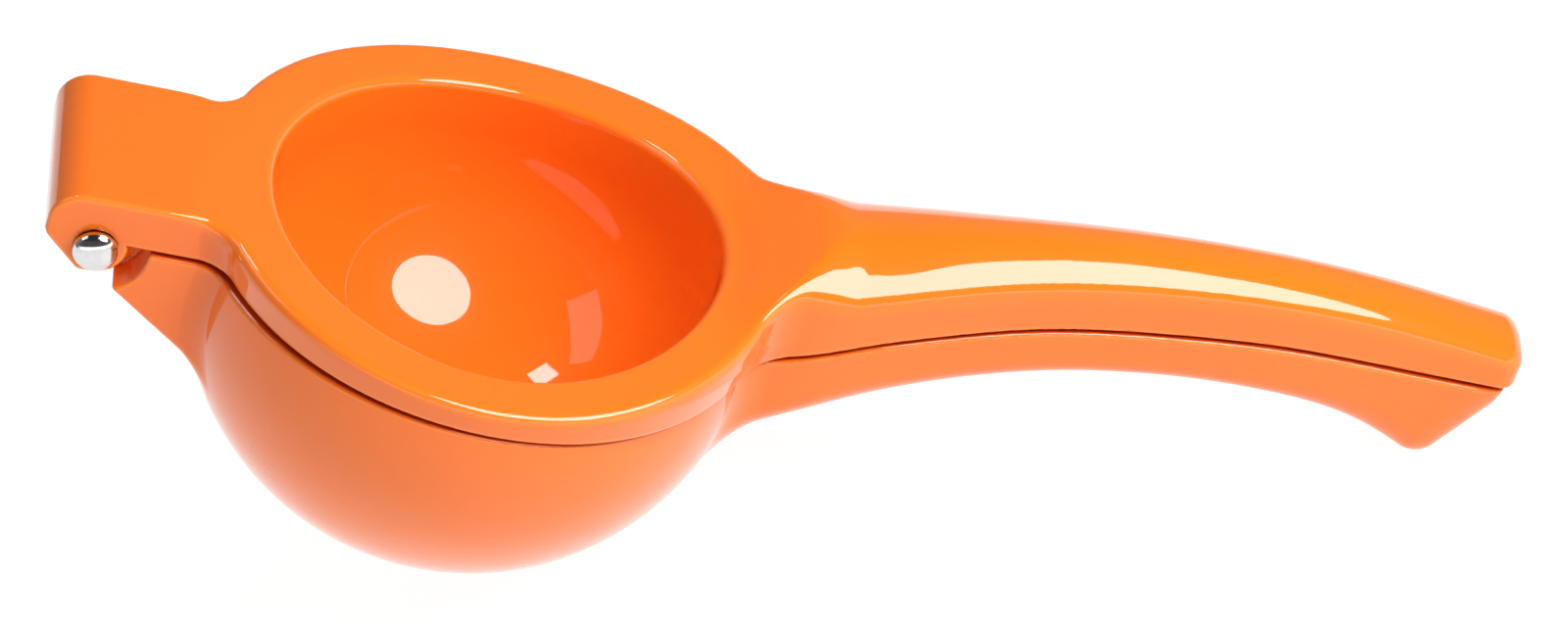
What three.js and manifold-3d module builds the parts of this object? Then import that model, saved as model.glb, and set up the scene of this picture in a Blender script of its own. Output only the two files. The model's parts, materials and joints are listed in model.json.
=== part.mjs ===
// A hand-held citrus press: two enamelled castings that turn on one riveted pin.
//
// The lower arm is a drained bowl with a hinge tongue at one end and a hooked
// handle at the other. The upper arm is a ring with a hollow press dome under it,
// a hinge fork at one end and a handle that lies on the lower one when closed.
//
// Millimetres, +Z up. Both arms are drawn level: x runs from the hinge to the
// handle, y across, and the origin is the middle of the ring's mouth. The whole
// press is then leaned back, so that it stands on its bowl and its handle's hook.

import * as THREE from 'three';
import { mergeVertices } from 'three/addons/utils/BufferGeometryUtils.js';
import Module from 'manifold-3d';

const wasm = await Module();
wasm.setup();

// ---------------------------------------------------------------- dimensions

const ring = {
  radius: 48,
  footRadius: 47.1,
  edgeRound: 2.4,
  mouthRadius: 37.2,
  mouthRound: 2.4,
};

const cup = {
  wallEnd: -9,
  bottom: -41,
  wall: 3.6,
};

const bowl = {
  centreX: -1.2,
  centreZ: -12.6,
  radius: 47.2,
  wall: 3.8,
};

const drain = {
  holeRadius: 2.1,
  rings: [
    { holes: 1, angle: 0 },
    { holes: 6, angle: 12 },
    { holes: 12, angle: 23.5 },
    { holes: 18, angle: 35 },
  ],
};

const pin = {
  x: -64.4,
  z: -6.3,
  radius: 3,
  boreRadius: 3.3,
  headRadius: 3.7,
  headHeight: 2.6,
  spigotRadius: 1.7,
  spigotLength: 3.2,
  capSkirt: 3.6,
};

const hinge = {
  endX: -73,
  halfWidth: 16.8,
  edgeRound: 0.9,
  cornerRound: 5.6,
  footDrop: 0.1,
  slotHalfWidth: 10.9,
  slotEndX: -70.2,
  slotInnerX: -56,
  slotTopZ: -0.5,
  tongueHalfWidth: 10.6,
  tongueRadius: 5.4,
  cheekStartZ: -5.2,
  cheekRadius: 5.2,
  reliefRadius: 8.8,
  ringFillet: 4.5,
};

const handle = {
  rootX: 40,
  upperEndX: 169.6,
  lowerEndX: 168.2,
  upperEndRound: 3.8,
  lowerEndRound: 2,
  channelFromX: 64,
  channelToX: 152,
  channelWall: 3.6,
  crownShare: 0.48,
  ribs: 5,
  ribThickness: 2.2,
};

const hookTip = { x: 156.8, z: -3, radius: 3 };
const partingGap = 0.6;
const runningGap = 0.3;

const roundSides = 48;
const bowlRows = 18;
const handleSteps = 24;
const rivetSides = 24;
const holeSides = 8;

// ---------------------------------------------------------------- long lines

// A smooth line through a few points, read as height or width against x.
function smoothLine(points) {
  const xs = points.map((point) => point[0]);
  const values = points.map((point) => point[1]);
  const line = new THREE.CubicInterpolant(xs, values, 1);
  return (x) => line.evaluate(x)[0];
}

// The ring's top face dips at the middle and climbs towards both ends.
function rimRise(x) {
  const lean = x < 0 ? 2.9e-5 : 1.2e-5;
  return 0.0027 * x ** 2 + lean * x ** 3;
}

// The plane where the arms meet is flat under the ring and follows the handle.
const partingLine = smoothLine([
  [-90, -5.2], [0, -5.3], [40, -5.2], [47, -4.4], [57, -1.2], [64, 1.3], [75, 4.4],
  [91, 8.2], [111, 10.9], [131, 12.3], [148, 12.1], [170, 11.8],
]);

const handleTop = smoothLine([
  [36, rimRise(36) - 0.6], [45, rimRise(45) - 0.4], [52, 12.8], [60, 14.9], [70, 17.1],
  [80, 19.1], [90, 20.7], [105, 22.3], [120, 23], [135, 22.9], [150, 21.8], [160, 20.6],
  [170, 19.2],
]);

// The upper handle's top is a round crown over straight sides. It starts square,
// where it leaves the ring's flat top, and soon becomes a half ellipse.
const crownPower = smoothLine([[36, 6], [48, 5], [56, 2.8], [64, 2.1], [72, 2], [170, 2]]);

const handleBottom = smoothLine([
  [36, -38], [42, -28.8], [46, -23], [51, -19.3], [60, -14.7], [69, -10.3], [78, -6.9],
  [87, -4.1], [96, -1.8], [106, -0.1], [116, 0.9], [126, 1.1], [136, 0.6], [143, -0.6],
  [151, -3.5], [155, -5.6], [157, -6], [160.6, -3.4], [165.5, 4.2], [168.2, 8.4],
]);

// Half the handle's width, with the flare that blends it into the ring.
const handleHalfWidth = smoothLine([
  [36, 32], [40, 26.5], [44, 19.6], [46, 16.6], [48, 15.1], [50, 14.4], [55, 14],
  [62, 13.2], [70, 12], [80, 10.6], [98, 9], [112, 8.3], [130, 7.7], [150, 7.3], [170, 7.1],
]);

// The lower handle flares only near its top edge: the bowl's round side blends the
// rest. The height runs from 0 at its bottom to 1 at its top.
function lowerHalfWidth(x, height) {
  const flared = handleHalfWidth(x);
  return THREE.MathUtils.lerp(Math.min(flared, 14), flared, height ** 3);
}

// How far a quarter-round end has drawn in, at x along a handle.
function endInset(x, endX, round) {
  const into = x - (endX - round);
  if (into <= 0) {
    return 0;
  }
  return round - Math.sqrt(Math.max(round ** 2 - into ** 2, 0));
}

// ---------------------------------------------------------------- solids

function toSolid(geometry) {
  const bare = geometry.clone();
  bare.deleteAttribute('normal');
  bare.deleteAttribute('uv');
  const merged = mergeVertices(bare, 1e-4);
  const mesh = new wasm.Mesh({
    numProp: 3,
    vertProperties: new Float32Array(merged.attributes.position.array),
    triVerts: new Uint32Array(merged.index.array),
  });
  return new wasm.Manifold(mesh);
}

function toGeometry(solid) {
  const mesh = solid.getMesh();
  const geometry = new THREE.BufferGeometry();
  geometry.setAttribute('position', new THREE.BufferAttribute(mesh.vertProperties, 3));
  geometry.setIndex(new THREE.BufferAttribute(mesh.triVerts, 1));
  geometry.computeVertexNormals();
  return geometry;
}

// Moves every vertex of a geometry to where place(x, y, z) says.
function reshape(geometry, place) {
  const position = geometry.attributes.position;
  for (let i = 0; i < position.count; i += 1) {
    const moved = place(position.getX(i), position.getY(i), position.getZ(i));
    position.setXYZ(i, ...moved);
  }
  return geometry;
}

// A side outline, drawn in x and z, stood up and made as wide as given across y.
function acrossY(outline, halfWidth, round = 0) {
  const geometry = new THREE.ExtrudeGeometry(outline, {
    depth: 2 * (halfWidth - round),
    bevelEnabled: round > 0,
    bevelSize: round,
    bevelThickness: round,
    bevelOffset: -round,
    bevelSegments: 2,
    curveSegments: 8,
  });
  geometry.translate(0, 0, -(halfWidth - round));
  geometry.rotateX(Math.PI / 2);
  return toSolid(geometry);
}

// A cylinder lying along y on the hinge line.
function alongHinge(radius, halfLength, sides = 32) {
  const geometry = new THREE.CylinderGeometry(radius, radius, 2 * halfLength, sides);
  geometry.translate(pin.x, 0, pin.z);
  return toSolid(geometry);
}

// A bar from one x to another. Its section is drawn with u from -1 to 1 across and
// v from 0 at the bottom to 1 at the top, and is stretched to the lines it follows.
// The steps crowd together towards the far end, where the shape turns fastest.
function bar(section, fromX, toX, steps, lines) {
  const geometry = new THREE.ExtrudeGeometry(section, {
    depth: 1,
    steps,
    bevelEnabled: false,
    curveSegments: 6,
  });
  const rise = lines.rise ?? ((x, u, v) => v);
  return toSolid(reshape(geometry, (u, v, along) => {
    const x = fromX + (toX - fromX) * Math.sin(along * Math.PI / 2);
    const low = lines.bottom(x);
    const share = rise(x, u, v);
    return [x, u * lines.halfWidth(x, v), low + share * (lines.top(x) - low)];
  }));
}

function upperSection() {
  const section = new THREE.Shape();
  section.moveTo(-0.97, 0);
  section.lineTo(0.97, 0);
  section.lineTo(1, 0.06);
  section.lineTo(1, handle.crownShare);
  section.absellipse(0, handle.crownShare, 1, 1 - handle.crownShare, 0, Math.PI);
  section.lineTo(-1, 0.06);
  return section;
}

// How high a point of that section really is, with the crown as square as it is there.
function crownRise(x, u, v) {
  const side = handle.crownShare;
  if (v <= side) {
    return v;
  }
  const power = crownPower(x);
  return side + (1 - side) * (1 - Math.min(Math.abs(u), 1) ** power) ** (1 / power);
}

function lowerSection() {
  const section = new THREE.Shape();
  section.moveTo(-0.97, 1);
  section.lineTo(-1, 0.94);
  section.lineTo(-0.96, 0.42);
  section.bezierCurveTo(-0.93, 0.14, -0.8, 0.02, -0.5, 0);
  section.lineTo(0.5, 0);
  section.bezierCurveTo(0.8, 0.02, 0.93, 0.14, 0.96, 0.42);
  section.lineTo(1, 0.94);
  section.lineTo(0.97, 1);
  return section;
}

function channelSection() {
  const section = new THREE.Shape();
  section.moveTo(-1, 0);
  section.lineTo(1, 0);
  section.lineTo(0.8, 1);
  section.lineTo(-0.8, 1);
  return section;
}

// ---------------------------------------------------------------- upper arm

// The inner wall of the press cup at an angle down from its rim line.
function cupPoint(angle, wall) {
  const radius = ring.mouthRadius + wall;
  const depth = cup.wallEnd - cup.bottom + wall;
  return [radius * Math.cos(angle), cup.wallEnd - depth * Math.sin(angle)];
}

// Ring and press cup in one turned shape. Its top face is then raised to the rim's
// rise, and its foot to the meeting plane.
function ringWithCup() {
  const foot = partingLine(0);
  const edge = ring.radius - ring.edgeRound;
  const lip = ring.mouthRadius + ring.mouthRound;
  const profile = new THREE.Path();
  const cupSteps = 10;
  profile.moveTo(...cupPoint(Math.PI / 2, 0));
  for (let i = cupSteps - 1; i >= 0; i -= 1) {
    profile.lineTo(...cupPoint((i / cupSteps) * Math.PI / 2, 0));
  }
  profile.lineTo(ring.mouthRadius, -ring.mouthRound);
  profile.absarc(lip, -ring.mouthRound, ring.mouthRound, Math.PI, Math.PI / 2, true);
  profile.lineTo(edge, 0);
  profile.absarc(edge, -ring.edgeRound, ring.edgeRound, Math.PI / 2, 0, true);
  profile.lineTo(ring.footRadius, foot);
  profile.lineTo(ring.mouthRadius + cup.wall, foot);
  for (let i = 0; i <= cupSteps; i += 1) {
    profile.lineTo(...cupPoint((i / cupSteps) * Math.PI / 2, cup.wall));
  }
  const points = profile.getPoints(4).reverse();
  points[0].x = 0;
  points[points.length - 1].x = 0;
  const turned = new THREE.LatheGeometry(points, roundSides);
  turned.rotateX(Math.PI / 2);
  return toSolid(reshape(turned, (x, y, z) => {
    const share = THREE.MathUtils.clamp(1 - z / foot, 0, 1);
    const shift = THREE.MathUtils.lerp(partingLine(x) - foot, rimRise(x), share);
    return [x, y, z + shift];
  }));
}

// The side outline of the fork: top face, rounded end wall and cheeks round the pin.
function forkOutline() {
  const insideX = -42;
  const top = rimRise(-50);
  const foot = partingLine(-50) - hinge.footDrop;
  const outline = new THREE.Shape();
  outline.moveTo(insideX, foot);
  outline.lineTo(insideX, rimRise(insideX) - 0.3);
  outline.lineTo(-50, top);
  outline.lineTo(hinge.endX + hinge.cornerRound, top);
  outline.absarc(
    hinge.endX + hinge.cornerRound, top - hinge.cornerRound, hinge.cornerRound,
    Math.PI / 2, Math.PI, false,
  );
  outline.lineTo(hinge.endX, hinge.cheekStartZ);
  outline.absarc(pin.x, pin.z, hinge.cheekRadius, 1.255 * Math.PI, 2.04 * Math.PI, false);
  outline.lineTo(pin.x + hinge.cheekRadius + 0.5, foot);
  return outline;
}

// The rounded inner corner between the fork's side and the ring, on one side.
function ringFillet(side) {
  const round = hinge.ringFillet;
  const centreY = hinge.halfWidth + round;
  const centreX = -Math.sqrt((ring.radius + round) ** 2 - centreY ** 2);
  const toRing = Math.atan2(-centreY, -centreX);
  const corner = new THREE.Shape();
  corner.moveTo(-40, hinge.halfWidth - 1);
  corner.lineTo(centreX, hinge.halfWidth - 1);
  corner.lineTo(centreX, hinge.halfWidth);
  corner.absarc(centreX, centreY, round, -Math.PI / 2, toRing, false);
  const foot = partingLine(-46) + 0.25;
  const height = rimRise(-46) - 0.4 - foot;
  const block = new THREE.ExtrudeGeometry(corner, {
    depth: height,
    bevelEnabled: false,
    curveSegments: 6,
  });
  block.translate(0, 0, foot);
  if (side < 0) {
    block.rotateX(Math.PI);
    block.translate(0, 0, 2 * foot + height);
  }
  return toSolid(block);
}

// The slot between the cheeks, where the lower arm's tongue goes.
function forkSlot() {
  const slot = new THREE.Shape();
  slot.moveTo(hinge.slotEndX, -40);
  slot.lineTo(hinge.slotInnerX, -40);
  slot.lineTo(hinge.slotInnerX, hinge.slotTopZ);
  slot.lineTo(hinge.slotEndX, hinge.slotTopZ);
  return acrossY(slot, hinge.slotHalfWidth);
}

// Cross ribs that stiffen a hollow handle.
function ribBoxes() {
  const boxes = [];
  const pitch = (handle.channelToX - handle.channelFromX) / (handle.ribs + 1);
  for (let i = 1; i <= handle.ribs; i += 1) {
    const rib = new THREE.BoxGeometry(handle.ribThickness, 40, 80);
    rib.translate(handle.channelFromX + i * pitch, 0, 0);
    boxes.push(toSolid(rib));
  }
  return boxes;
}

// A channel cut in a handle's meeting face, left solid where its ribs are.
function channel(low, high) {
  let hollow = bar(channelSection(), handle.channelFromX, handle.channelToX, 14, {
    halfWidth: (x) => handleHalfWidth(x) - handle.channelWall,
    bottom: low,
    top: high,
  });
  for (const rib of ribBoxes()) {
    hollow = hollow.subtract(rib);
  }
  return hollow;
}

function upperPressArm() {
  const inset = (x) => endInset(x, handle.upperEndX, handle.upperEndRound);
  const grip = bar(upperSection(), handle.rootX, handle.upperEndX, handleSteps, {
    halfWidth: (x) => handleHalfWidth(x) - inset(x),
    bottom: partingLine,
    top: (x) => handleTop(x) - 0.6 * inset(x),
    rise: crownRise,
  });
  const clear = ring.mouthRadius + ring.mouthRound + 0.4;
  const mouth = new THREE.CylinderGeometry(clear, clear, 60, roundSides);
  mouth.rotateX(Math.PI / 2);
  const above = (x) => partingLine(x) + 0.55 * (handleTop(x) - partingLine(x));
  return acrossY(forkOutline(), hinge.halfWidth, hinge.edgeRound)
    .add(ringFillet(1))
    .add(ringFillet(-1))
    .add(grip)
    .subtract(toSolid(mouth))
    .add(ringWithCup())
    .subtract(channel((x) => partingLine(x) - 2, above))
    .subtract(forkSlot())
    .subtract(alongHinge(pin.boreRadius, 30));
}

// ---------------------------------------------------------------- lower arm

function sphere(radius) {
  const ball = new THREE.SphereGeometry(radius, roundSides, bowlRows);
  ball.rotateX(Math.PI / 2);
  ball.translate(bowl.centreX, 0, bowl.centreZ);
  return toSolid(ball);
}

// Everything above the meeting plane, to trim the lower arm with.
function aboveParting() {
  const outline = new THREE.Shape();
  const steps = 60;
  const from = -90;
  const to = 180;
  outline.moveTo(from, 120);
  for (let i = 0; i <= steps; i += 1) {
    const x = from + ((to - from) * i) / steps;
    outline.lineTo(x, partingLine(x) - partingGap);
  }
  outline.lineTo(to, 120);
  return acrossY(outline, 70);
}

// The straight-sided way into the bowl above its centre.
function bowlMouth() {
  const radius = bowl.radius - bowl.wall;
  const mouth = new THREE.CylinderGeometry(radius, radius, 40, roundSides);
  mouth.rotateX(Math.PI / 2);
  mouth.translate(bowl.centreX, 0, bowl.centreZ + 20);
  return toSolid(mouth);
}

function drainHoles() {
  const holes = [];
  for (const row of drain.rings) {
    const angle = THREE.MathUtils.degToRad(row.angle);
    for (let i = 0; i < row.holes; i += 1) {
      const turn = (2 * Math.PI * i) / row.holes;
      const hole = new THREE.CylinderGeometry(drain.holeRadius, drain.holeRadius, 12, holeSides);
      hole.translate(0, -(bowl.radius - bowl.wall / 2), 0);
      hole.rotateX(Math.PI / 2);
      hole.rotateY(-angle);
      hole.rotateZ(turn);
      hole.translate(bowl.centreX, 0, bowl.centreZ);
      holes.push(toSolid(hole));
    }
  }
  return holes;
}

// The side outline of the hinge lug, from the bowl to the pin.
function lugOutline() {
  const outline = new THREE.Shape();
  outline.moveTo(pin.x + 3, pin.z - 7);
  outline.lineTo(-46.2, -24.6);
  outline.lineTo(-40, -31);
  outline.lineTo(-36, -31);
  outline.lineTo(-36, 0);
  outline.lineTo(pin.x + 3, 0);
  return outline;
}

// The lug is as wide as the fork, but only a narrow tongue of it goes between the
// cheeks, which turn in the round relief cut on either side.
function hingeLug() {
  const cheekRoom = alongHinge(hinge.reliefRadius, 60, 40);
  const wide = acrossY(lugOutline(), hinge.halfWidth, hinge.edgeRound).subtract(cheekRoom);
  const neck = acrossY(lugOutline(), hinge.tongueHalfWidth)
    .intersect(alongHinge(hinge.reliefRadius + 1, 60, 40));
  return wide
    .add(neck)
    .subtract(aboveParting())
    .add(alongHinge(hinge.tongueRadius, hinge.tongueHalfWidth));
}

function lowerBowlArm() {
  const inset = (x) => endInset(x, handle.lowerEndX, handle.lowerEndRound);
  const grip = bar(lowerSection(), handle.rootX, handle.lowerEndX, handleSteps, {
    halfWidth: (x, height) => lowerHalfWidth(x, height) - inset(x),
    bottom: handleBottom,
    top: (x) => partingLine(x) - partingGap,
  });
  const below = (x) => partingLine(x) - 0.5 * (partingLine(x) - handleBottom(x));
  let arm = sphere(bowl.radius)
    .subtract(aboveParting())
    .add(grip)
    .add(hingeLug())
    .subtract(sphere(bowl.radius - bowl.wall))
    .subtract(bowlMouth())
    .subtract(channel(below, (x) => partingLine(x) + 2))
    .subtract(alongHinge(pin.boreRadius, 30));
  for (const hole of drainHoles()) {
    arm = arm.subtract(hole);
  }
  return arm;
}

// ---------------------------------------------------------------- rivet

// A domed head's profile, from the rim of its flat back to the tip, along +y.
function domeProfile(backY) {
  const points = [];
  const steps = 8;
  for (let i = 0; i <= steps; i += 1) {
    const angle = (i / steps) * Math.PI / 2;
    points.push(new THREE.Vector2(
      pin.headRadius * Math.cos(angle),
      backY + 0.4 + (pin.headHeight - 0.4) * Math.sin(angle),
    ));
  }
  points[steps].x = 0;
  return points;
}

// Turns a profile round the hinge line. Half a turn about x makes it face -y.
function turnedOnHinge(points, turn = 0) {
  const turned = new THREE.LatheGeometry(points, rivetSides);
  turned.rotateX(turn);
  turned.translate(pin.x, 0, pin.z);
  return mergeVertices(turned);
}

// The rivet: shank, spigot for the cap, and the domed head, at negative y.
function hingeRivet() {
  const seat = hinge.halfWidth + runningGap;
  const shoulder = seat - pin.capSkirt;
  const spigotEnd = shoulder + pin.spigotLength;
  const points = [
    new THREE.Vector2(0, -spigotEnd),
    new THREE.Vector2(pin.spigotRadius, -spigotEnd),
    new THREE.Vector2(pin.spigotRadius, -shoulder),
    new THREE.Vector2(pin.radius, -shoulder),
    new THREE.Vector2(pin.radius, seat),
    new THREE.Vector2(pin.headRadius, seat),
    ...domeProfile(seat),
  ];
  return turnedOnHinge(points, Math.PI);
}

// The cap pressed on the rivet's far end, domed like its head.
function rivetCap() {
  const seat = hinge.halfWidth + runningGap;
  const skirtEnd = seat - pin.capSkirt + runningGap;
  const bore = pin.spigotRadius + runningGap;
  const boreEnd = seat - pin.capSkirt + pin.spigotLength + runningGap;
  const points = [
    new THREE.Vector2(0, boreEnd),
    new THREE.Vector2(bore, boreEnd),
    new THREE.Vector2(bore, skirtEnd),
    new THREE.Vector2(pin.radius, skirtEnd),
    new THREE.Vector2(pin.radius, seat),
    new THREE.Vector2(pin.headRadius, seat),
    ...domeProfile(seat),
  ];
  return turnedOnHinge(points);
}

// ---------------------------------------------------------------- assembly

const enamel = new THREE.MeshStandardMaterial({ color: 0xff7a1a, roughness: 0.18, metalness: 0 });
const steel = new THREE.MeshStandardMaterial({ color: 0xd8dadd, roughness: 0.12, metalness: 1 });

function named(name, geometry, material) {
  const mesh = new THREE.Mesh(geometry, material.clone());
  mesh.name = name;
  return mesh;
}

// How far the press leans back when it stands on its bowl and its hook: the slope
// of the line that touches both round shapes from below.
function restingTilt() {
  const acrossX = hookTip.x - bowl.centreX;
  const acrossZ = hookTip.z - bowl.centreZ;
  const reach = Math.hypot(acrossX, acrossZ);
  return Math.atan2(acrossZ, acrossX) + Math.asin((bowl.radius - hookTip.radius) / reach);
}

const level = new THREE.Group();
level.add(named('upper_press_arm', toGeometry(upperPressArm()), enamel));
level.add(named('lower_bowl_arm', toGeometry(lowerBowlArm()), enamel));
level.add(named('hinge_rivet', hingeRivet(), steel));
level.add(named('rivet_cap', rivetCap(), steel));
level.rotation.y = restingTilt();

// The origin is the middle of the press's box, on the surface that it stands on.
const press = new THREE.Group();
press.add(level);
press.updateMatrixWorld(true);
const box = new THREE.Box3().setFromObject(press, true);
level.position.set(-(box.min.x + box.max.x) / 2, -(box.min.y + box.max.y) / 2, -box.min.z);

export default press;
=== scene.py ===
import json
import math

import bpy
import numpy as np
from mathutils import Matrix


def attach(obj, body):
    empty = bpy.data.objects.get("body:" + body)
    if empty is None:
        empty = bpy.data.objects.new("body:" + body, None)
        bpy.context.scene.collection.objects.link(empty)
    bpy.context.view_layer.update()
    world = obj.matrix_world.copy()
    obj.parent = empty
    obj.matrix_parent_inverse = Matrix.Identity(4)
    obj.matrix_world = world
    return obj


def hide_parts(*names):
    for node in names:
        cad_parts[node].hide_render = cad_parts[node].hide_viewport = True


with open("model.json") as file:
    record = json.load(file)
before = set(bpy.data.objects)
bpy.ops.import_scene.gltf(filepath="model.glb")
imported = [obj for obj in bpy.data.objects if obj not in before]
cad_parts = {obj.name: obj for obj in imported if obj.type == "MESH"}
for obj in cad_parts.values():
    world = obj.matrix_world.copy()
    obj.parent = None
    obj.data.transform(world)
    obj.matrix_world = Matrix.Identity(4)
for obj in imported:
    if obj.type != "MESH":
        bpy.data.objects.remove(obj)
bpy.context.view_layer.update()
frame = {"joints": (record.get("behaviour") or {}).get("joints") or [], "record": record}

# Looks for an enamelled citrus press, built on its CAD frame.
#
# Each arm is one casting, so it is drawn as one field: a function that gives, for any
# point, about how far it is outside the metal. Fields join and cut with round fillets,
# as cast metal does, and the surface is meshed where the field is nought.
#
# Shapes are in millimetres in the press's level frame: x from the ring's middle towards
# the handle, y across, z up. The frame's hinge and flat land say where that frame lies.

import openvdb
from mathutils import Matrix, Vector

MM = 0.001
UPPER = "upper_press_arm"
LOWER = "lower_bowl_arm"
RIVET = "hinge_rivet"
CAP = "rivet_cap"
BODIES = frame["record"]["behaviour"]["bodies"]

# ------------------------------------------------------------------ dimensions

# A pair named RISES, GROWS or FLATTENS says where an eased change starts and ends. A
# SHARE is a part of the handle's own height or half width.

# Rivet and cap.
PIN = (-64.4, -6.3)
PIN_RADIUS = 3.0
BORE_RADIUS = 3.3
HEAD_RADIUS = 3.7
HEAD_HEIGHT = 2.6
HEAD_SKIRT = 0.35
HEAD_ROLL = 0.15
HEAD_CLEARANCE = 0.3
CAP_SKIRT = 3.6
CAP_BORE_RADIUS = 2.0
SPIGOT_RADIUS = 1.7
SPIGOT_LENGTH = 3.2
SPIGOT_CHAMFER = (0.1, 0.2)
DOME_TIP_RADIUS = 0.05
DOME_STEPS = 14
RIVET_SIDES = 96
RIVET_CREASE = 35

# Ring and cup.
RING_RADIUS = 48.0
RING_DRAFT = 0.17
RING_EDGE = 2.4
RIM_RISE = 0.0027
RIM_LEAN_AT_HINGE = 2.9e-5
RIM_LEAN_AT_HANDLE = 1.2e-5
MOUTH_EDGE = 1.5
MOUTH_RADIUS = 37.2
CUP_WALL = 3.6
CUP_TOP = -9.0
CUP_DEPTH = 32.0
CUP_FILLET = 1.5
CUP_OVERLAP = 2.0

# Bowl.
BOWL_X = -1.2
BOWL_Z = -12.6
BOWL_RADIUS = 47.02
BOWL_WALL = 3.8
DRAIN_RADIUS = 2.1
DRAIN_RINGS = [(1, 0.0), (6, 12.0), (12, 23.5), (18, 35.0)]

# Hinge: the upper arm's fork, and the lower arm's lug and tongue.
FORK_END = -73.0
FORK_ROOT = -50.0
FORK_HALF_WIDTH = 16.8
FORK_CORNER = 5.7
FORK_EDGE = 1.0
FORK_FILLET = 3.5
FORK_EDGE_GROWS = (-54.0, -46.0)
CHEEK_RADIUS = 5.2
CHEEK_START_Z = -5.2
SLOT_X = (-70.2, -56.0)
SLOT_TOP = -0.5
SLOT_HALF_WIDTH = 10.9
TONGUE_HALF_WIDTH = 10.6
TONGUE_RADIUS = 5.4
RELIEF_RADIUS = 8.8
NECK_REACH = 2.0
LUG_TOE = (-61.4, -13.3)
LUG_HEEL = (-46.2, -24.6)
LUG_FILLET = 3.0

# Handles. Fork, lug and handles start this far from the middle, inside the ring or bowl.
BAR_START = 30.0
ROOT_FILLET = 5.0
ROOT_RISES_OUT = (38.0, 43.0)
ROOT_RISES_ALONG = (25.0, 37.0)
ROOT_RISES_ACROSS = (30.0, 12.0)
CROWN_GROWS = (44.0, 59.0)
CROWN_HEIGHT_SHARE = 0.52
CROWN_SPREAD_SHARE = 0.06
CROWN_CREASE = 1.2
CROWN_FLATNESS = 0.42
CROWN_FLATTENS = (150.0, 75.0)
RIDGE_ROUND = 2.5
RIDGE_WIDENING = 0.25
KEEL_WIDTH_SHARE = 0.5
KEEL_HEIGHT_SHARE = 0.42
KEEL_HEIGHT_LIMIT = 6.0
UPPER_END = 169.6
UPPER_END_ROUND = 3.6
LOWER_END = 168.2
LOWER_END_ROUND = 1.6
HOOK_TOE = (160.6, -3.4)
HOOK_HEEL = (168.2, 8.4)
HOOK_ROUND = 4.2

# Channels in the handles' meeting faces.
CHANNEL_X = (64.0, 152.0)
CHANNEL_WALL = 3.6
CHANNEL_EDGE = 1.0
CHANNEL_CORNER = 1.5
CHANNEL_OVERSHOOT = 5.0
UPPER_CHANNEL_SHARE = 0.55
LOWER_CHANNEL_SHARE = 0.5
CHANNEL_RIBS = 5
RIB_HALF = 1.1

# Gap and edges.
PARTING_GAP = 0.6
PARTING_EDGE = 0.55
CUT_EDGE = 0.5
BORE_EDGE = 0.3

# Meshing. The boxes are where each casting's surface is searched for.
UPPER_BOX = ((-75, -50, -47), (172, 50.1, 25))
LOWER_BOX = ((-72, -49, -62), (170, 49.1, 15))
CELL = 0.5
FIELD_STEP = 0.02
FAR = 50.0
BEND_REACH = 0.6
SEAM_FADE = 0.45
SEAM_LOOKS_UP = (0.4, 0.8)

# ------------------------------------------------------------------ colours

ENAMEL_TONES = ((0.92, 0.165, 0.009), (0.95, 0.185, 0.012))
ENAMEL_ON_EDGES = (0.98, 0.25, 0.03)
# Darker red in corners and hollows: painted shade, with the deeper tone of pooled enamel.
ENAMEL_POOLED_AND_SHADED = (0.8, 0.1, 0.005)
# Painted shade: deep red laid on the meeting faces so that the gap between the castings
# reads dark.
SEAM_PAINTED_SHADE = (0.6, 0.045, 0.004)
STEEL_TONES = ((0.62, 0.62, 0.63), (0.8, 0.8, 0.79))
FLOOR_GREY = (0.16, 0.16, 0.16, 1)
WHITE = (1, 1, 1, 1)

# ------------------------------------------------------------------ studio settings

# The lens is in millimetres, and the other lengths here are in metres. Angles are in
# degrees, and a direction is an azimuth and an elevation.
CAMERA_LENS = 202.5
CAMERA_TARGET = (-0.0021, -0.0069, 0.0424)
CAMERA_DIRECTION = (2.97, 38.95)
CAMERA_DISTANCE = 1.436
CAMERA_ROLL = -6.41
FLOOR_HALF = 6.0
FLOOR_GLOW = 0.96
FRONT_AZIMUTH = 20
LIGHTS_AIM_AT = (0, 0, 0.04)

# Name, azimuth, elevation, distance, width, height, radiance and shape.
SOFTBOXES = [
    ("key_softbox", 61, 54, 0.45, 0.31, 0.31, 12.5, "ELLIPSE"),
    ("left_softbox", -98, 50, 1.2, 0.75, 0.5, 1.5, "RECTANGLE"),
    ("back_left_kicker", -150, 63, 1.5, 0.24, 0.24, 12, "RECTANGLE"),
]


# ------------------------------------------------------------------ long lines

def smooth_line(points):
    """A natural cubic spline through a few points, as a function of x."""
    xs, values = np.array(points, float).T
    gaps = np.diff(xs)
    slopes = np.diff(values) / gaps
    last = len(xs) - 1
    system = np.eye(len(xs))
    jumps = np.zeros(len(xs))
    for i in range(1, last):
        system[i, i - 1:i + 2] = gaps[i - 1], 2 * (gaps[i - 1] + gaps[i]), gaps[i]
        jumps[i] = 6 * (slopes[i] - slopes[i - 1])
    bends = np.linalg.solve(system, jumps)

    def line(x):
        inside = np.clip(x, xs[0], xs[last])
        i = np.clip(np.searchsorted(xs, inside) - 1, 0, last - 1)
        to_right = xs[i + 1] - inside
        to_left = inside - xs[i]
        gap = gaps[i]
        curve = (bends[i] * to_right ** 3 + bends[i + 1] * to_left ** 3) / (6 * gap)
        from_left = (values[i] / gap - bends[i] * gap / 6) * to_right
        from_right = (values[i + 1] / gap - bends[i + 1] * gap / 6) * to_left
        return curve + from_left + from_right

    return line


def ease(x, start, end):
    """From 0 at start to 1 at end, flat at both."""
    share = np.clip((x - start) / (end - start), 0, 1)
    return share * share * (3 - 2 * share)


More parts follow.
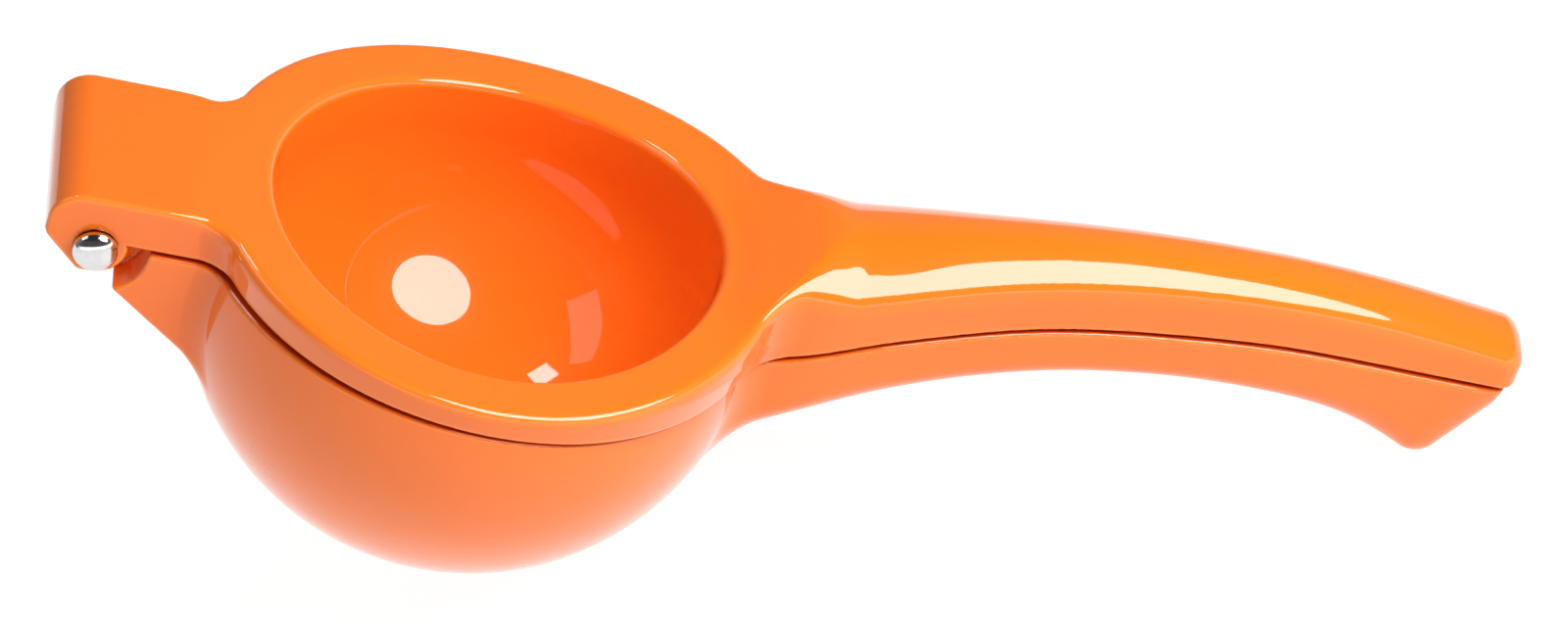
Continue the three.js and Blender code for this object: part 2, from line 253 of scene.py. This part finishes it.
def steepness(line, x):
    """The length of the line for each unit of x, which turns a height into a distance."""
    reach = 0.5
    return np.hypot(1, (line(x + reach) - line(x - reach)) / (2 * reach))


def rim_rise(x):
    """The ring's top face dips at the middle and climbs towards both ends."""
    lean = np.where(x < 0, RIM_LEAN_AT_HINGE, RIM_LEAN_AT_HANDLE)
    return RIM_RISE * x ** 2 + lean * x ** 3


parting_line = smooth_line([
    (-90, -5.2), (-40, -5.2), (0, -5.3), (40, -5.2), (47, -4.4), (57, -1.2), (64, 1.3),
    (75, 4.4), (91, 8.2), (111, 10.9), (131, 12.3), (148, 12.1), (170, 11.8),
])
handle_top = smooth_line([
    (30, 2.6), (37, 4.4), (43, 7.3), (48, 10.5), (53, 13.4), (60, 15.2), (70, 17.4),
    (80, 19.4), (90, 21.0), (105, 22.6), (120, 23.3), (135, 23.2), (150, 22.1), (160, 20.8),
    (170, 19.3),
])
handle_bottom = smooth_line([
    (30, -33), (40, -26.6), (51, -19.8), (60, -14.7), (69, -10.3), (78, -6.9), (87, -4.1),
    (96, -1.8), (106, -0.1), (116, 0.9), (126, 1.1), (136, 0.6), (143, -0.6), (151, -3.5),
    (157, -6.6), (170, -15),
])
handle_half_width = smooth_line([
    (30, 14.8), (50, 14.5), (56, 14.1), (62, 13.3), (70, 12.1), (80, 10.6), (98, 9),
    (112, 8.3), (130, 7.7), (150, 7.3), (170, 7.1),
])


def top_height(x, y):
    """The upper arm's top: level on the fork, the rim's rise, then the handle's top."""
    rim = rim_rise(np.maximum(x, FORK_ROOT))
    off_mouth = ease(np.hypot(x, y), *ROOT_RISES_OUT)
    near_middle = ease(x, *ROOT_RISES_ALONG) * ease(np.abs(y), *ROOT_RISES_ACROSS)
    return rim + off_mouth * near_middle * (handle_top(x) - rim)


def top_line(x):
    return top_height(x, 0)


# ------------------------------------------------------------------ field joins

def fillet(a, b, radius):
    """Joins two fields, with a hollow round of this radius where they meet."""
    near = np.hypot(np.maximum(radius - a, 0), np.maximum(radius - b, 0))
    return np.maximum(radius, np.minimum(a, b)) - near


def keep_both(a, b, radius):
    """What is inside both fields, with its outer edge rounded to this radius."""
    near = np.hypot(np.maximum(radius + a, 0), np.maximum(radius + b, 0))
    return np.minimum(-radius, np.maximum(a, b)) + near


def cut(a, b, radius):
    """What is inside a and outside b, with the edge of the cut rounded."""
    return keep_both(a, -b, radius)


def crown(side, face, across, down, power=2.0):
    """Rounds the edge between a side and a face: an ellipse at power 2, flatter below it."""
    in_across = np.maximum(across + side, 0) / across
    in_down = np.maximum(down + face, 0) / down
    outer = np.maximum((in_across ** power + in_down ** power) ** (1 / power), 1e-6)
    slope = np.hypot(in_across ** (power - 1) / across, in_down ** (power - 1) / down)
    slope = slope * outer ** (1 - power)
    rounded = (outer - 1) / np.maximum(slope, 1e-6)
    deep = np.maximum(side, face)
    return np.where((in_across > 0) & (in_down > 0), rounded, deep)


def half_plane(x, z, start, end):
    """Distance to the left of the line from start to end, in the side view."""
    run = end[0] - start[0]
    rise = end[1] - start[1]
    return (rise * (start[0] - x) - run * (start[1] - z)) / math.hypot(run, rise)


def rod(x, z, radius):
    """A cylinder on the hinge line."""
    return np.hypot(x - PIN[0], z - PIN[1]) - radius


def squashed_ball(x, y, z, radius, depth):
    """The lower half of an ellipsoid hung from the cup's top, with a straight wall above."""
    below = np.minimum(z - CUP_TOP, 0)
    level = np.hypot(x, y)
    share = np.hypot(level / radius, below / depth)
    slope = np.hypot(level / radius ** 2, below / depth ** 2)
    return share * (share - 1) / np.maximum(slope, 1e-6)


def channel(x, y, z, low, high):
    """The hollow in a handle's meeting face, interrupted by cross ribs."""
    pitch = (CHANNEL_X[1] - CHANNEL_X[0]) / (CHANNEL_RIBS + 1)
    nearest = np.clip(np.round((x - CHANNEL_X[0]) / pitch), 1, CHANNEL_RIBS)
    rib = np.abs(x - CHANNEL_X[0] - nearest * pitch) - RIB_HALF
    ends = np.maximum(CHANNEL_X[0] - x, x - CHANNEL_X[1])
    side = np.abs(y) - handle_half_width(x) + CHANNEL_WALL
    plan = keep_both(cut(ends, rib, CHANNEL_EDGE), side, CHANNEL_CORNER)
    return keep_both(plan, np.maximum(low - z, z - high), CHANNEL_EDGE)


# ------------------------------------------------------------------ upper arm

def cheek(x, z):
    """The fork's side view under its slab: a round cheek and the slant up to its end."""
    run = PIN[0] - FORK_END
    rise = PIN[1] - CHEEK_START_Z
    slant = math.atan2(rise, run) - math.asin(CHEEK_RADIUS / math.hypot(run, rise))
    start = (FORK_END, CHEEK_START_Z)
    end = (FORK_END + math.cos(slant), CHEEK_START_Z + math.sin(slant))
    wedge = np.maximum(-half_plane(x, z, start, end), x - PIN[0])
    return np.minimum(np.maximum(wedge, PIN[1] - CHEEK_RADIUS - z), rod(x, z, CHEEK_RADIUS))


def upper_plan(x, y, z):
    """Ring, fork and handle seen from above, joined with hollow rounds."""
    ring = np.hypot(x, y) - RING_RADIUS - RING_DRAFT * np.minimum(z, 0)
    fork = np.maximum(np.abs(y) - FORK_HALF_WIDTH, x + BAR_START)
    ridge = np.hypot(y, RIDGE_ROUND) - RIDGE_WIDENING
    grip = np.maximum(ridge - handle_half_width(x), BAR_START - x)
    return fillet(fillet(ring, fork, FORK_FILLET), grip, ROOT_FILLET)


def crowned_plan(plan, face, x):
    """The plan under its top face: small round edges that grow to the handle's crown."""
    on_ring = ease(x, *FORK_EDGE_GROWS)
    edge = FORK_EDGE + on_ring * (RING_EDGE - FORK_EDGE)
    on_handle = ease(x, *CROWN_GROWS)
    spread = on_handle * CROWN_SPREAD_SHARE * handle_half_width(x)
    width = edge + on_handle * (handle_half_width(x) - edge) + spread
    crown_height = CROWN_HEIGHT_SHARE * (top_line(x) - parting_line(x))
    height = edge + on_handle * (crown_height - edge)
    power = 2 - on_handle * CROWN_FLATNESS * ease(x, *CROWN_FLATTENS)
    crowned = crown(plan - spread, face, width, height, power)
    return keep_both(crowned, plan, CROWN_CREASE)


def fork_slot(x, y, z):
    """The slot between the cheeks, for the lower arm's tongue."""
    slot = np.maximum(SLOT_X[0] - x, x - SLOT_X[1])
    slot = np.maximum(slot, z - SLOT_TOP)
    return np.maximum(slot, np.abs(y) - SLOT_HALF_WIDTH)


def upper_field(x, y, z):
    """The press arm: its plan between top and underside, then the cup and the cuts."""
    face = (z - top_height(x, y)) / steepness(top_line, x)
    face = keep_both(FORK_END - x, face, FORK_CORNER)
    meeting = (parting_line(x) - z) / steepness(parting_line, x)
    below = np.minimum(meeting, cheek(x, z))
    below = np.where(x < FORK_ROOT, below, meeting)

    arm = crowned_plan(upper_plan(x, y, z), face, x)
    arm = keep_both(arm, x - UPPER_END, UPPER_END_ROUND)
    arm = keep_both(arm, below, PARTING_EDGE)

    shell = squashed_ball(x, y, z, MOUTH_RADIUS + CUP_WALL, CUP_DEPTH + CUP_WALL)
    shell = np.maximum(shell, z - parting_line(0) - CUP_OVERLAP)
    arm = fillet(arm, shell, CUP_FILLET)
    arm = cut(arm, squashed_ball(x, y, z, MOUTH_RADIUS, CUP_DEPTH), MOUTH_EDGE)

    ceiling = parting_line(x) + UPPER_CHANNEL_SHARE * (top_line(x) - parting_line(x))
    trough = channel(x, y, z, parting_line(x) - CHANNEL_OVERSHOOT, ceiling)
    arm = cut(arm, trough, CUT_EDGE)
    arm = cut(arm, fork_slot(x, y, z), CUT_EDGE)
    return cut(arm, rod(x, z, BORE_RADIUS), BORE_EDGE)


# ------------------------------------------------------------------ lower arm

def drain_holes(x, y, z):
    """Rings of round holes through the bottom of the bowl, square to its wall."""
    level_x = x - BOWL_X
    level_z = z - BOWL_Z
    out = np.hypot(level_x, y)
    turn = np.arctan2(y, level_x)
    field = np.full(np.broadcast(x, y, z).shape, FAR, np.float32)
    for holes, degrees in DRAIN_RINGS:
        pitch = 2 * math.pi / holes
        off = turn - np.round(turn / pitch) * pitch
        tilt = math.radians(degrees)
        near_x = out * np.cos(off)
        near_y = out * np.sin(off)
        sideways = near_x * math.cos(tilt) + level_z * math.sin(tilt)
        along = near_x * math.sin(tilt) - level_z * math.cos(tilt)
        hole = np.maximum(np.hypot(sideways, near_y) - DRAIN_RADIUS, -along)
        field = np.minimum(field, hole)
    return field


def hinge_lug(x, y, z):
    """The block that carries the tongue, hollowed on both sides for the fork's cheeks."""
    across = np.abs(y)
    under = -half_plane(x, z, LUG_TOE, LUG_HEEL)
    block = np.maximum(under, x + BAR_START)
    block = keep_both(block, across - FORK_HALF_WIDTH, FORK_EDGE)
    block = cut(block, rod(x, z, RELIEF_RADIUS), CUT_EDGE)
    neck = np.maximum(under, LUG_TOE[0] - x)
    neck = np.maximum(neck, rod(x, z, RELIEF_RADIUS + NECK_REACH))
    return np.minimum(block, keep_both(neck, across - TONGUE_HALF_WIDTH, CUT_EDGE))


def lower_handle(x, y, z):
    """The lower handle with its round keel and its hook, up past the parting line."""
    under = (handle_bottom(x) - z) / steepness(handle_bottom, x)
    under = keep_both(under, half_plane(x, z, HOOK_HEEL, HOOK_TOE), HOOK_ROUND)
    side = np.abs(y) - handle_half_width(x)
    width = KEEL_WIDTH_SHARE * handle_half_width(x)
    height = KEEL_HEIGHT_SHARE * (parting_line(x) - handle_bottom(x))
    height = np.minimum(height, KEEL_HEIGHT_LIMIT)
    bar = crown(side, under, width, height)
    bar = keep_both(bar, x - LOWER_END, LOWER_END_ROUND)
    return np.maximum(bar, BAR_START - x)


def lower_field(x, y, z):
    """The bowl arm: ball, handle and lug under the parting line, then the cuts."""
    level_x = x - BOWL_X
    ball = np.sqrt(level_x ** 2 + y ** 2 + (z - BOWL_Z) ** 2)
    arm = fillet(ball - BOWL_RADIUS, lower_handle(x, y, z), ROOT_FILLET)
    arm = fillet(arm, hinge_lug(x, y, z), LUG_FILLET)
    meeting = (z - parting_line(x) + PARTING_GAP) / steepness(parting_line, x)
    arm = keep_both(arm, meeting, PARTING_EDGE)

    inner = BOWL_RADIUS - BOWL_WALL
    hollow = np.where(z > BOWL_Z, np.hypot(level_x, y), ball) - inner
    arm = cut(arm, hollow, PARTING_EDGE)
    arm = cut(arm, drain_holes(x, y, z), CUT_EDGE)
    floor = parting_line(x) - LOWER_CHANNEL_SHARE * (parting_line(x) - handle_bottom(x))
    trough = channel(x, y, z, floor, parting_line(x) + CHANNEL_OVERSHOOT)
    arm = cut(arm, trough, CUT_EDGE)

    barrel = keep_both(rod(x, z, TONGUE_RADIUS), np.abs(y) - TONGUE_HALF_WIDTH, CUT_EDGE)
    return cut(np.minimum(arm, barrel), rod(x, z, BORE_RADIUS), BORE_EDGE)


# ------------------------------------------------------------------ level frame to row

def level_to_row():
    """The level frame's place in the row frame, from the hinge and the flat land."""
    hinge = Vector(frame["joints"][0]["pos_m"])
    land = Vector(frame["record"]["mounts"][0]["axis"])
    turn = Matrix.Rotation(math.atan2(land.x, land.z), 4, "Y")
    pin = Matrix.Translation((-PIN[0] * MM, 0, -PIN[1] * MM))
    return Matrix.Translation(hinge) @ turn @ pin @ Matrix.Scale(MM, 4)


TO_ROW = level_to_row()


def row_points(points):
    placed = np.array(TO_ROW)
    return points @ placed[:3, :3].T + placed[:3, 3]


def row_normals(normals):
    placed = np.array(TO_ROW)[:3, :3] / MM
    return normals @ placed.T


# ------------------------------------------------------------------ meshing

def gradient(field, points):
    """How the field changes along x, y and z at each point."""
    columns = []
    for axis in range(3):
        step = np.zeros(3)
        step[axis] = FIELD_STEP
        ahead = field(*(points + step).T)
        behind = field(*(points - step).T)
        columns.append((ahead - behind) / (2 * FIELD_STEP))
    return np.stack(columns, -1)


def settle(field, points):
    """Moves points on to the field's surface, and gives the surface's normals there."""
    for _ in range(3):
        slope = gradient(field, points)
        steep = np.maximum((slope ** 2).sum(1), 0.05)
        move = -field(*points.T) / steep
        points = points + np.clip(move, -CELL, CELL)[:, None] * slope
    slope = gradient(field, points)
    length = np.maximum(np.linalg.norm(slope, axis=1), 1e-6)
    return points, slope / length[:, None]


def bend(field, points):
    """How sharply the surface bends: above 0 on an outer edge, below 0 in a corner."""
    total = -6 * field(*points.T)
    for axis in range(3):
        step = np.zeros(3)
        step[axis] = BEND_REACH
        total = total + field(*(points + step).T) + field(*(points - step).T)
    return total / BEND_REACH ** 2


def seam_shade(points):
    """1 on the two faces that meet at the parting line, falling to 0 just beyond them: where
    painted shade darkens the gap.
    """
    middle = parting_line(points[:, 0]) - PARTING_GAP / 2
    beyond = np.abs(points[:, 2] - middle) - PARTING_GAP / 2
    return 1 - np.clip(beyond / SEAM_FADE, 0, 1)


def add_share(mesh, name, values):
    share = mesh.attributes.new(name, "FLOAT", "POINT")
    share.data.foreach_set("value", values.astype(np.float32))


def mesh_of_field(name, field, low, high):
    """The field's surface as a fine mesh in the row frame, with its true normals."""
    xs, ys, zs = (np.arange(a, b, CELL, dtype=np.float32) for a, b in zip(low, high))
    values = field(xs[:, None, None], ys[None, :, None], zs[None, None, :])
    grid = openvdb.FloatGrid(FAR)
    grid.copyFromArray(np.ascontiguousarray(values, np.float32))
    points, quads = grid.convertToQuads(isovalue=0.0)
    points, normals = settle(field, points * CELL + np.array(low, float))

    mesh = bpy.data.meshes.new(name)
    mesh.from_pydata(row_points(points), [], quads)
    mesh.shade_smooth()
    mesh.normals_split_custom_set_from_vertices(row_normals(normals))
    add_share(mesh, "bend", bend(field, points))
    # Marks the meeting faces, where painted shade darkens the parting gap.
    looks_up = ease(np.abs(normals[:, 2]), *SEAM_LOOKS_UP)
    add_share(mesh, "seam_shade", seam_shade(points) * looks_up)
    piece = bpy.data.objects.new(name, mesh)
    bpy.context.scene.collection.objects.link(piece)
    return piece


def turned_mesh(name, profile, facing):
    """A profile of (radius, y) points turned about the hinge line, closed at both ends."""
    sides = RIVET_SIDES
    turn = np.arange(sides) * 2 * math.pi / sides
    rings = []
    for radius, along in profile:
        ring = np.stack([radius * np.cos(turn), np.full(sides, along * facing),
                         radius * np.sin(turn)], -1)
        rings.append(ring)
    points = np.concatenate(rings) + (PIN[0], 0, PIN[1])
    faces = []
    for start in range(0, (len(profile) - 1) * sides, sides):
        for i in range(sides):
            j = (i + 1) % sides
            quad = (start + i, start + j, start + sides + j, start + sides + i)
            faces.append(quad if facing > 0 else quad[::-1])
    first = tuple(range(sides))
    last = tuple(range((len(profile) - 1) * sides, len(profile) * sides))
    faces.append(first[::-1] if facing > 0 else first)
    faces.append(last if facing > 0 else last[::-1])
    mesh = bpy.data.meshes.new(name)
    mesh.from_pydata(row_points(points), [], faces)
    mesh.shade_smooth()
    mesh.set_sharp_from_angle(angle=math.radians(RIVET_CREASE))
    piece = bpy.data.objects.new(name, mesh)
    bpy.context.scene.collection.objects.link(piece)
    return piece


# ------------------------------------------------------------------ rivet

def dome_profile(seat):
    """A pressed rivet dome: a short skirt with a rolled edge, then a low round crown."""
    points = [(HEAD_RADIUS - HEAD_ROLL, seat), (HEAD_RADIUS, seat + HEAD_ROLL)]
    for i in range(DOME_STEPS):
        angle = i / DOME_STEPS * math.pi / 2
        height = seat + HEAD_SKIRT + (HEAD_HEIGHT - HEAD_SKIRT) * math.sin(angle)
        points.append((HEAD_RADIUS * math.cos(angle), height))
    points.append((DOME_TIP_RADIUS, seat + HEAD_HEIGHT))
    return points


def rivet_pieces():
    """The rivet with its head at the front, and the cap pressed on its far end."""
    seat = FORK_HALF_WIDTH + HEAD_CLEARANCE
    shoulder = seat - CAP_SKIRT
    skirt_end = shoulder + HEAD_CLEARANCE
    chamfer_in, chamfer_back = SPIGOT_CHAMFER
    rivet = [
        (SPIGOT_RADIUS - chamfer_in, -shoulder - SPIGOT_LENGTH),
        (SPIGOT_RADIUS, -shoulder - SPIGOT_LENGTH + chamfer_back),
        (SPIGOT_RADIUS, -shoulder),
        (PIN_RADIUS, -shoulder),
        (PIN_RADIUS, seat),
    ]
    cap = [(CAP_BORE_RADIUS, skirt_end), (PIN_RADIUS, skirt_end), (PIN_RADIUS, seat)]
    return (
        turned_mesh("rivet_with_domed_head", rivet + dome_profile(seat), -1),
        turned_mesh("domed_rivet_cap", cap + dome_profile(seat), 1),
    )


# ------------------------------------------------------------------ materials

def node_material(name):
    material = bpy.data.materials.new(name)
    material.use_nodes = True
    tree = material.node_tree
    return material, tree, tree.nodes["Principled BSDF"]


def link(tree, source, target):
    tree.links.new(source, target)


def attribute(tree, name):
    node = tree.nodes.new("ShaderNodeAttribute")
    node.attribute_name = name
    return node.outputs["Fac"]


def noise(tree, size_mm, detail, seed):
    """Noise with lumps of about this size, fixed to the piece."""
    place = tree.nodes.new("ShaderNodeTexCoord")
    texture = tree.nodes.new("ShaderNodeTexNoise")
    texture.noise_dimensions = "4D"
    texture.inputs["W"].default_value = seed
    texture.inputs["Scale"].default_value = 1 / (size_mm * MM)
    texture.inputs["Detail"].default_value = detail
    link(tree, place.outputs["Object"], texture.inputs["Vector"])
    return texture.outputs["Fac"]


def remap(tree, value, old, new):
    """A value scaled from one range to another, held inside it."""
    node = tree.nodes.new("ShaderNodeMapRange")
    node.inputs["From Min"].default_value = old[0]
    node.inputs["From Max"].default_value = old[1]
    node.inputs["To Min"].default_value = new[0]
    node.inputs["To Max"].default_value = new[1]
    link(tree, value, node.inputs["Value"])
    return node.outputs["Result"]


def blend_colours(tree, factor, low, high):
    """Between two colours, each a tuple or a socket."""
    node = tree.nodes.new("ShaderNodeMix")
    node.data_type = "RGBA"
    link(tree, factor, node.inputs["Factor"])
    sockets = [socket for socket in node.inputs if socket.type == "RGBA"]
    for socket, colour in zip(sockets, (low, high)):
        if isinstance(colour, tuple):
            socket.default_value = (*colour, 1)
        else:
            link(tree, colour, socket)
    return [socket for socket in node.outputs if socket.type == "RGBA"][0]


def bump(tree, height, depth_mm, below=None):
    node = tree.nodes.new("ShaderNodeBump")
    node.inputs["Strength"].default_value = 1
    node.inputs["Distance"].default_value = depth_mm * MM
    link(tree, height, node.inputs["Height"])
    if below is not None:
        link(tree, below, node.inputs["Normal"])
    return node.outputs["Normal"]


def enamel_material():
    """Thick glossy orange enamel, pale on edges; its corners get painted shade with the
    deeper tone of pooled enamel, and the faces at the parting seam get painted shade.
    """
    material, tree, shader = node_material("orange_enamel")
    bends = attribute(tree, "bend")
    body = blend_colours(tree, noise(tree, 34, 2, 1.7), *ENAMEL_TONES)
    thin = remap(tree, bends, (0.25, 1.6), (0, 0.6))
    edged = blend_colours(tree, thin, body, ENAMEL_ON_EDGES)
    # Corners and hollows darken: painted shade, with the deeper tone of pooled enamel.
    pooled_and_shaded = remap(tree, bends, (-0.05, -0.5), (0, 0.5))
    deep = blend_colours(tree, pooled_and_shaded, edged, ENAMEL_POOLED_AND_SHADED)
    # Painted shade: the meeting faces at the parting line are darkened so that the gap
    # between the castings reads dark.
    seam_shaded = remap(tree, attribute(tree, "seam_shade"), (0, 1), (0, 0.8))
    colour = blend_colours(tree, seam_shaded, deep, SEAM_PAINTED_SHADE)
    link(tree, colour, shader.inputs["Base Color"])
    rough = remap(tree, noise(tree, 9, 4, 4.2), (0.3, 0.7), (0.24, 0.34))
    link(tree, rough, shader.inputs["Roughness"])
    shader.inputs["Specular IOR Level"].default_value = 0.05
    shader.inputs["Coat Weight"].default_value = 1
    shader.inputs["Coat Roughness"].default_value = 0.035
    shader.inputs["Coat IOR"].default_value = 1.52
    peel = bump(tree, noise(tree, 3.2, 1, 7.7), 0.006)
    swell = bump(tree, noise(tree, 17, 1, 2.9), 0.16, peel)
    link(tree, swell, shader.inputs["Normal"])
    link(tree, swell, shader.inputs["Coat Normal"])
    return material


def chrome_material():
    """Polished rivet steel with faint turning marks and wear."""
    material, tree, shader = node_material("chromed_steel")
    tone = blend_colours(tree, noise(tree, 1.1, 3, 3.1), *STEEL_TONES)
    link(tree, tone, shader.inputs["Base Color"])
    rough = remap(tree, noise(tree, 0.5, 5, 9.4), (0.35, 0.75), (0.06, 0.2))
    link(tree, rough, shader.inputs["Roughness"])
    shader.inputs["Metallic"].default_value = 1
    link(tree, bump(tree, noise(tree, 0.8, 2, 5.5), 0.004), shader.inputs["Normal"])
    return material


# ------------------------------------------------------------------ pieces

def dress(piece, material, slot_name, body, *nodes):
    """Gives a piece its material, lets it ride its body and stand for its CAD nodes."""
    piece.data.materials.append(material)
    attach(piece, body)
    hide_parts(*nodes)


def body_holding(node):
    for body, members in BODIES.items():
        if node in members:
            return body
    raise KeyError(node)


def make_press():
    enamel = enamel_material()
    chrome = chrome_material()
    upper = mesh_of_field("upper_casting", upper_field, *UPPER_BOX)
    lower = mesh_of_field("lower_casting", lower_field, *LOWER_BOX)
    rivet, cap = rivet_pieces()
    dress(upper, enamel, "orange_enamel", body_holding(UPPER), UPPER)
    dress(lower, enamel, "orange_enamel", body_holding(LOWER), LOWER)
    dress(rivet, chrome, "chromed_steel", body_holding(RIVET), RIVET)
    dress(cap, chrome, "chromed_steel", body_holding(CAP), CAP)


# ------------------------------------------------------------------ studio

def direction(azimuth, elevation):
    """A unit vector: azimuth 0 is -Y, where the viewer stands, and 90 is +X."""
    a = math.radians(azimuth)
    e = math.radians(elevation)
    return Vector((math.sin(a) * math.cos(e), -math.cos(a) * math.cos(e), math.sin(e)))


def aim(thing, target, roll=0.0):
    """Turns a camera or light at a place to look at the target."""
    look = (target - thing.location).to_track_quat("-Z", "Y")
    thing.rotation_euler = (look @ Matrix.Rotation(roll, 3, "Z").to_quaternion()).to_euler()


def add_camera():
    data = bpy.data.cameras.new("camera")
    data.lens = CAMERA_LENS
    data.sensor_width = 36
    data.clip_start = 0.05
    camera = bpy.data.objects.new("camera", data)
    bpy.context.scene.collection.objects.link(camera)
    target = Vector(CAMERA_TARGET)
    camera.location = target + direction(*CAMERA_DIRECTION) * CAMERA_DISTANCE
    aim(camera, target, math.radians(CAMERA_ROLL))
    bpy.context.scene.camera = camera


def add_floor():
    """A plain floor that glows nearly white, as a lit sheet does in an over-exposed shot."""
    half = FLOOR_HALF
    mesh = bpy.data.meshes.new("floor")
    corners = [(-half, -half, 0), (half, -half, 0), (half, half, 0), (-half, half, 0)]
    mesh.from_pydata(corners, [], [(0, 1, 2, 3)])
    floor = bpy.data.objects.new("floor", mesh)
    bpy.context.scene.collection.objects.link(floor)
    material, tree, shader = node_material("pale_floor")
    shader.inputs["Base Color"].default_value = FLOOR_GREY
    shader.inputs["Roughness"].default_value = 0.8
    shader.inputs["Specular IOR Level"].default_value = 0.2
    shader.inputs["Emission Color"].default_value = WHITE
    shader.inputs["Emission Strength"].default_value = FLOOR_GLOW
    mesh.materials.append(material)


def add_softbox(name, azimuth, elevation, distance, width, height, radiance, shape):
    """A soft light aimed at the press, as bright as a surface of this radiance."""
    centre = Vector(LIGHTS_AIM_AT)
    data = bpy.data.lights.new(name, "AREA")
    data.shape = shape
    data.size = width
    data.size_y = height
    lit_area = width * height * (math.pi / 4 if shape == "ELLIPSE" else 1)
    data.energy = radiance * math.pi * lit_area
    light = bpy.data.objects.new(name, data)
    bpy.context.scene.collection.objects.link(light)
    light.location = centre + direction(azimuth, elevation) * distance
    aim(light, centre)


def maths(tree, operation, first, second):
    """One sum on two values, each a number or a socket."""
    node = tree.nodes.new("ShaderNodeMath")
    node.operation = operation
    for socket, value in zip(node.inputs, (first, second)):
        if isinstance(value, (int, float)):
            socket.default_value = value
        else:
            link(tree, value, socket)
    return node.outputs["Value"]


def add_world():
    """A room that is dark overhead, dim behind, and has a bright low wall in front."""
    world = bpy.data.worlds.new("studio")
    world.use_nodes = True
    tree = world.node_tree
    place = tree.nodes.new("ShaderNodeTexCoord").outputs["Generated"]
    parts = tree.nodes.new("ShaderNodeSeparateXYZ")
    link(tree, place, parts.inputs["Vector"])
    facing = tree.nodes.new("ShaderNodeVectorMath")
    facing.operation = "DOT_PRODUCT"
    facing.inputs[1].default_value = direction(FRONT_AZIMUTH, 0)
    link(tree, place, facing.inputs[0])
    above = remap(tree, parts.outputs["Z"], (0.8, 0.55), (0, 1))
    behind = remap(tree, facing.outputs["Value"], (0.2, -0.4), (0.05, 0.2))
    low = remap(tree, parts.outputs["Z"], (0.2, 0.12), (0, 2.2))
    front = remap(tree, facing.outputs["Value"], (-0.1, 0.45), (0, 1))
    walls = maths(tree, "MULTIPLY", above, behind)
    glow = maths(tree, "ADD", walls, maths(tree, "MULTIPLY", low, front))
    link(tree, maths(tree, "ADD", glow, 0.03), tree.nodes["Background"].inputs["Strength"])
    tree.nodes["Background"].inputs["Color"].default_value = WHITE
    bpy.context.scene.world = world


def make_studio():
    add_camera()
    add_floor()
    add_world()
    for softbox in SOFTBOXES:
        add_softbox(*softbox)
    bpy.context.scene.view_settings.view_transform = "Standard"


make_studio()
make_press()

bpy.context.view_layer.update()
